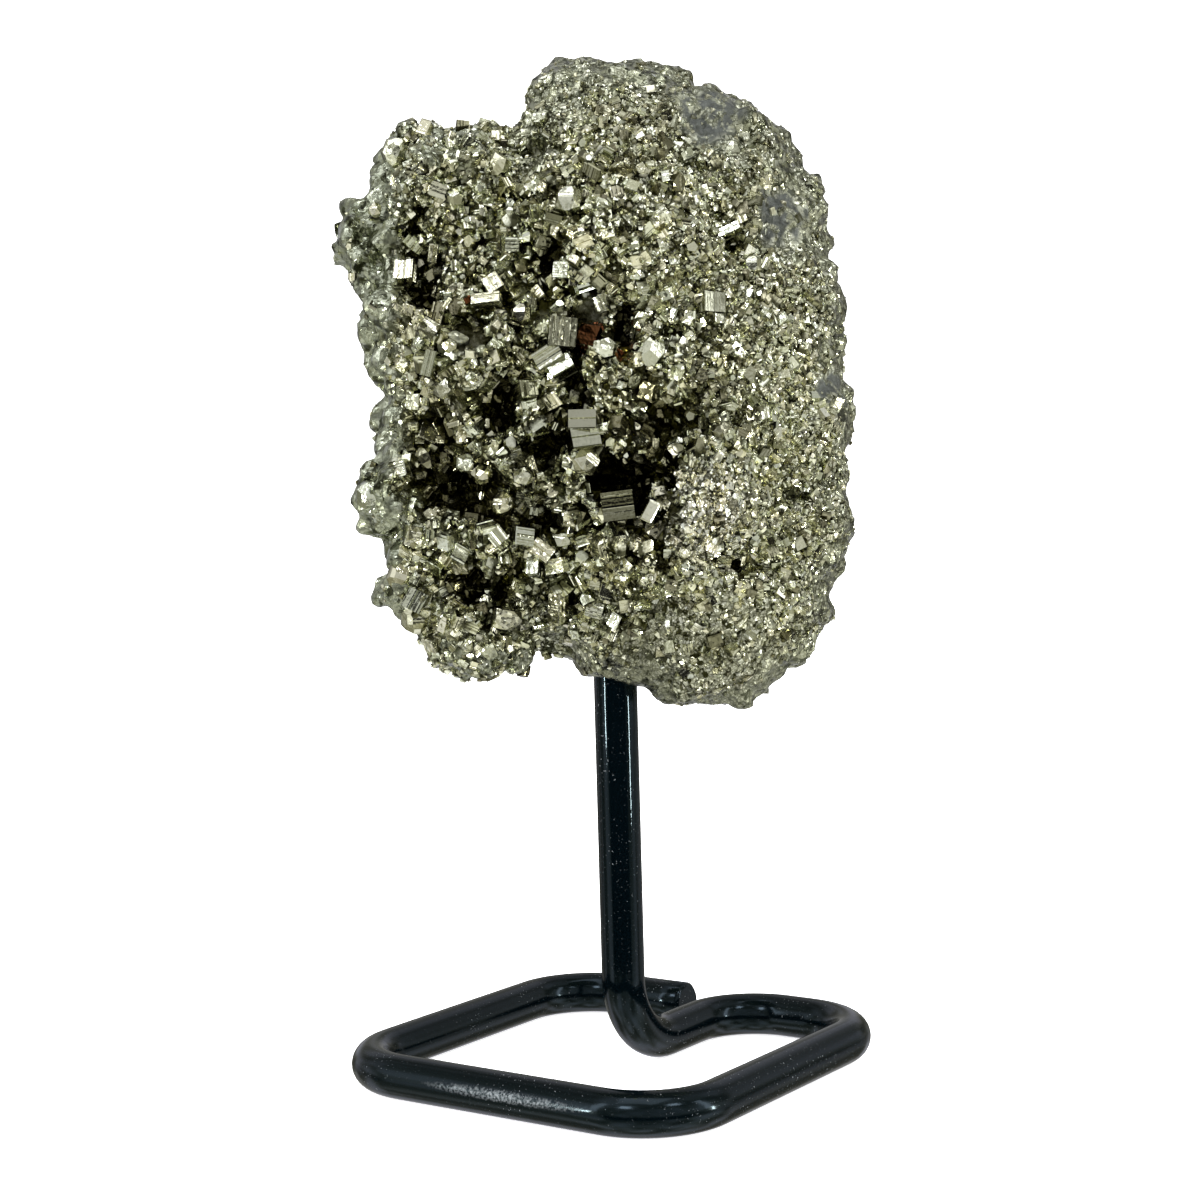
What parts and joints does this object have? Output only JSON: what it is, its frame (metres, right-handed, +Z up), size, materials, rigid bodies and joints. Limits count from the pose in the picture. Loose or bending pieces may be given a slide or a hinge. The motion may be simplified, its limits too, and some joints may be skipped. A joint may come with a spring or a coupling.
{
  "type": "pyrite specimen on a rod stand",
  "caption": "Upright natural mass of intergrown pyrite crystals, held on a post that bends into an open, square rod foot for display.",
  "frame": {"origin": "on the standing surface, under the middle of the whole specimen's box", "axes": "+Z up the post, +X and +Y along the sides of the square foot; the spoke runs out to the +Y side"},
  "size_m": [0.0638, 0.06, 0.141],
  "materials": {
    "pyrite": "natural pale brass-grey crystal faces with a bright metallic lustre, dark open pockets and a few dull blue-grey patches",
    "rod_paint": "gloss black paint with slight orange peel and a little dust"
  },
  "bodies": {
    "root": {"pyrite_cluster": "pyrite", "stand_rod": "rod_paint"}
  },
  "joints": []
}
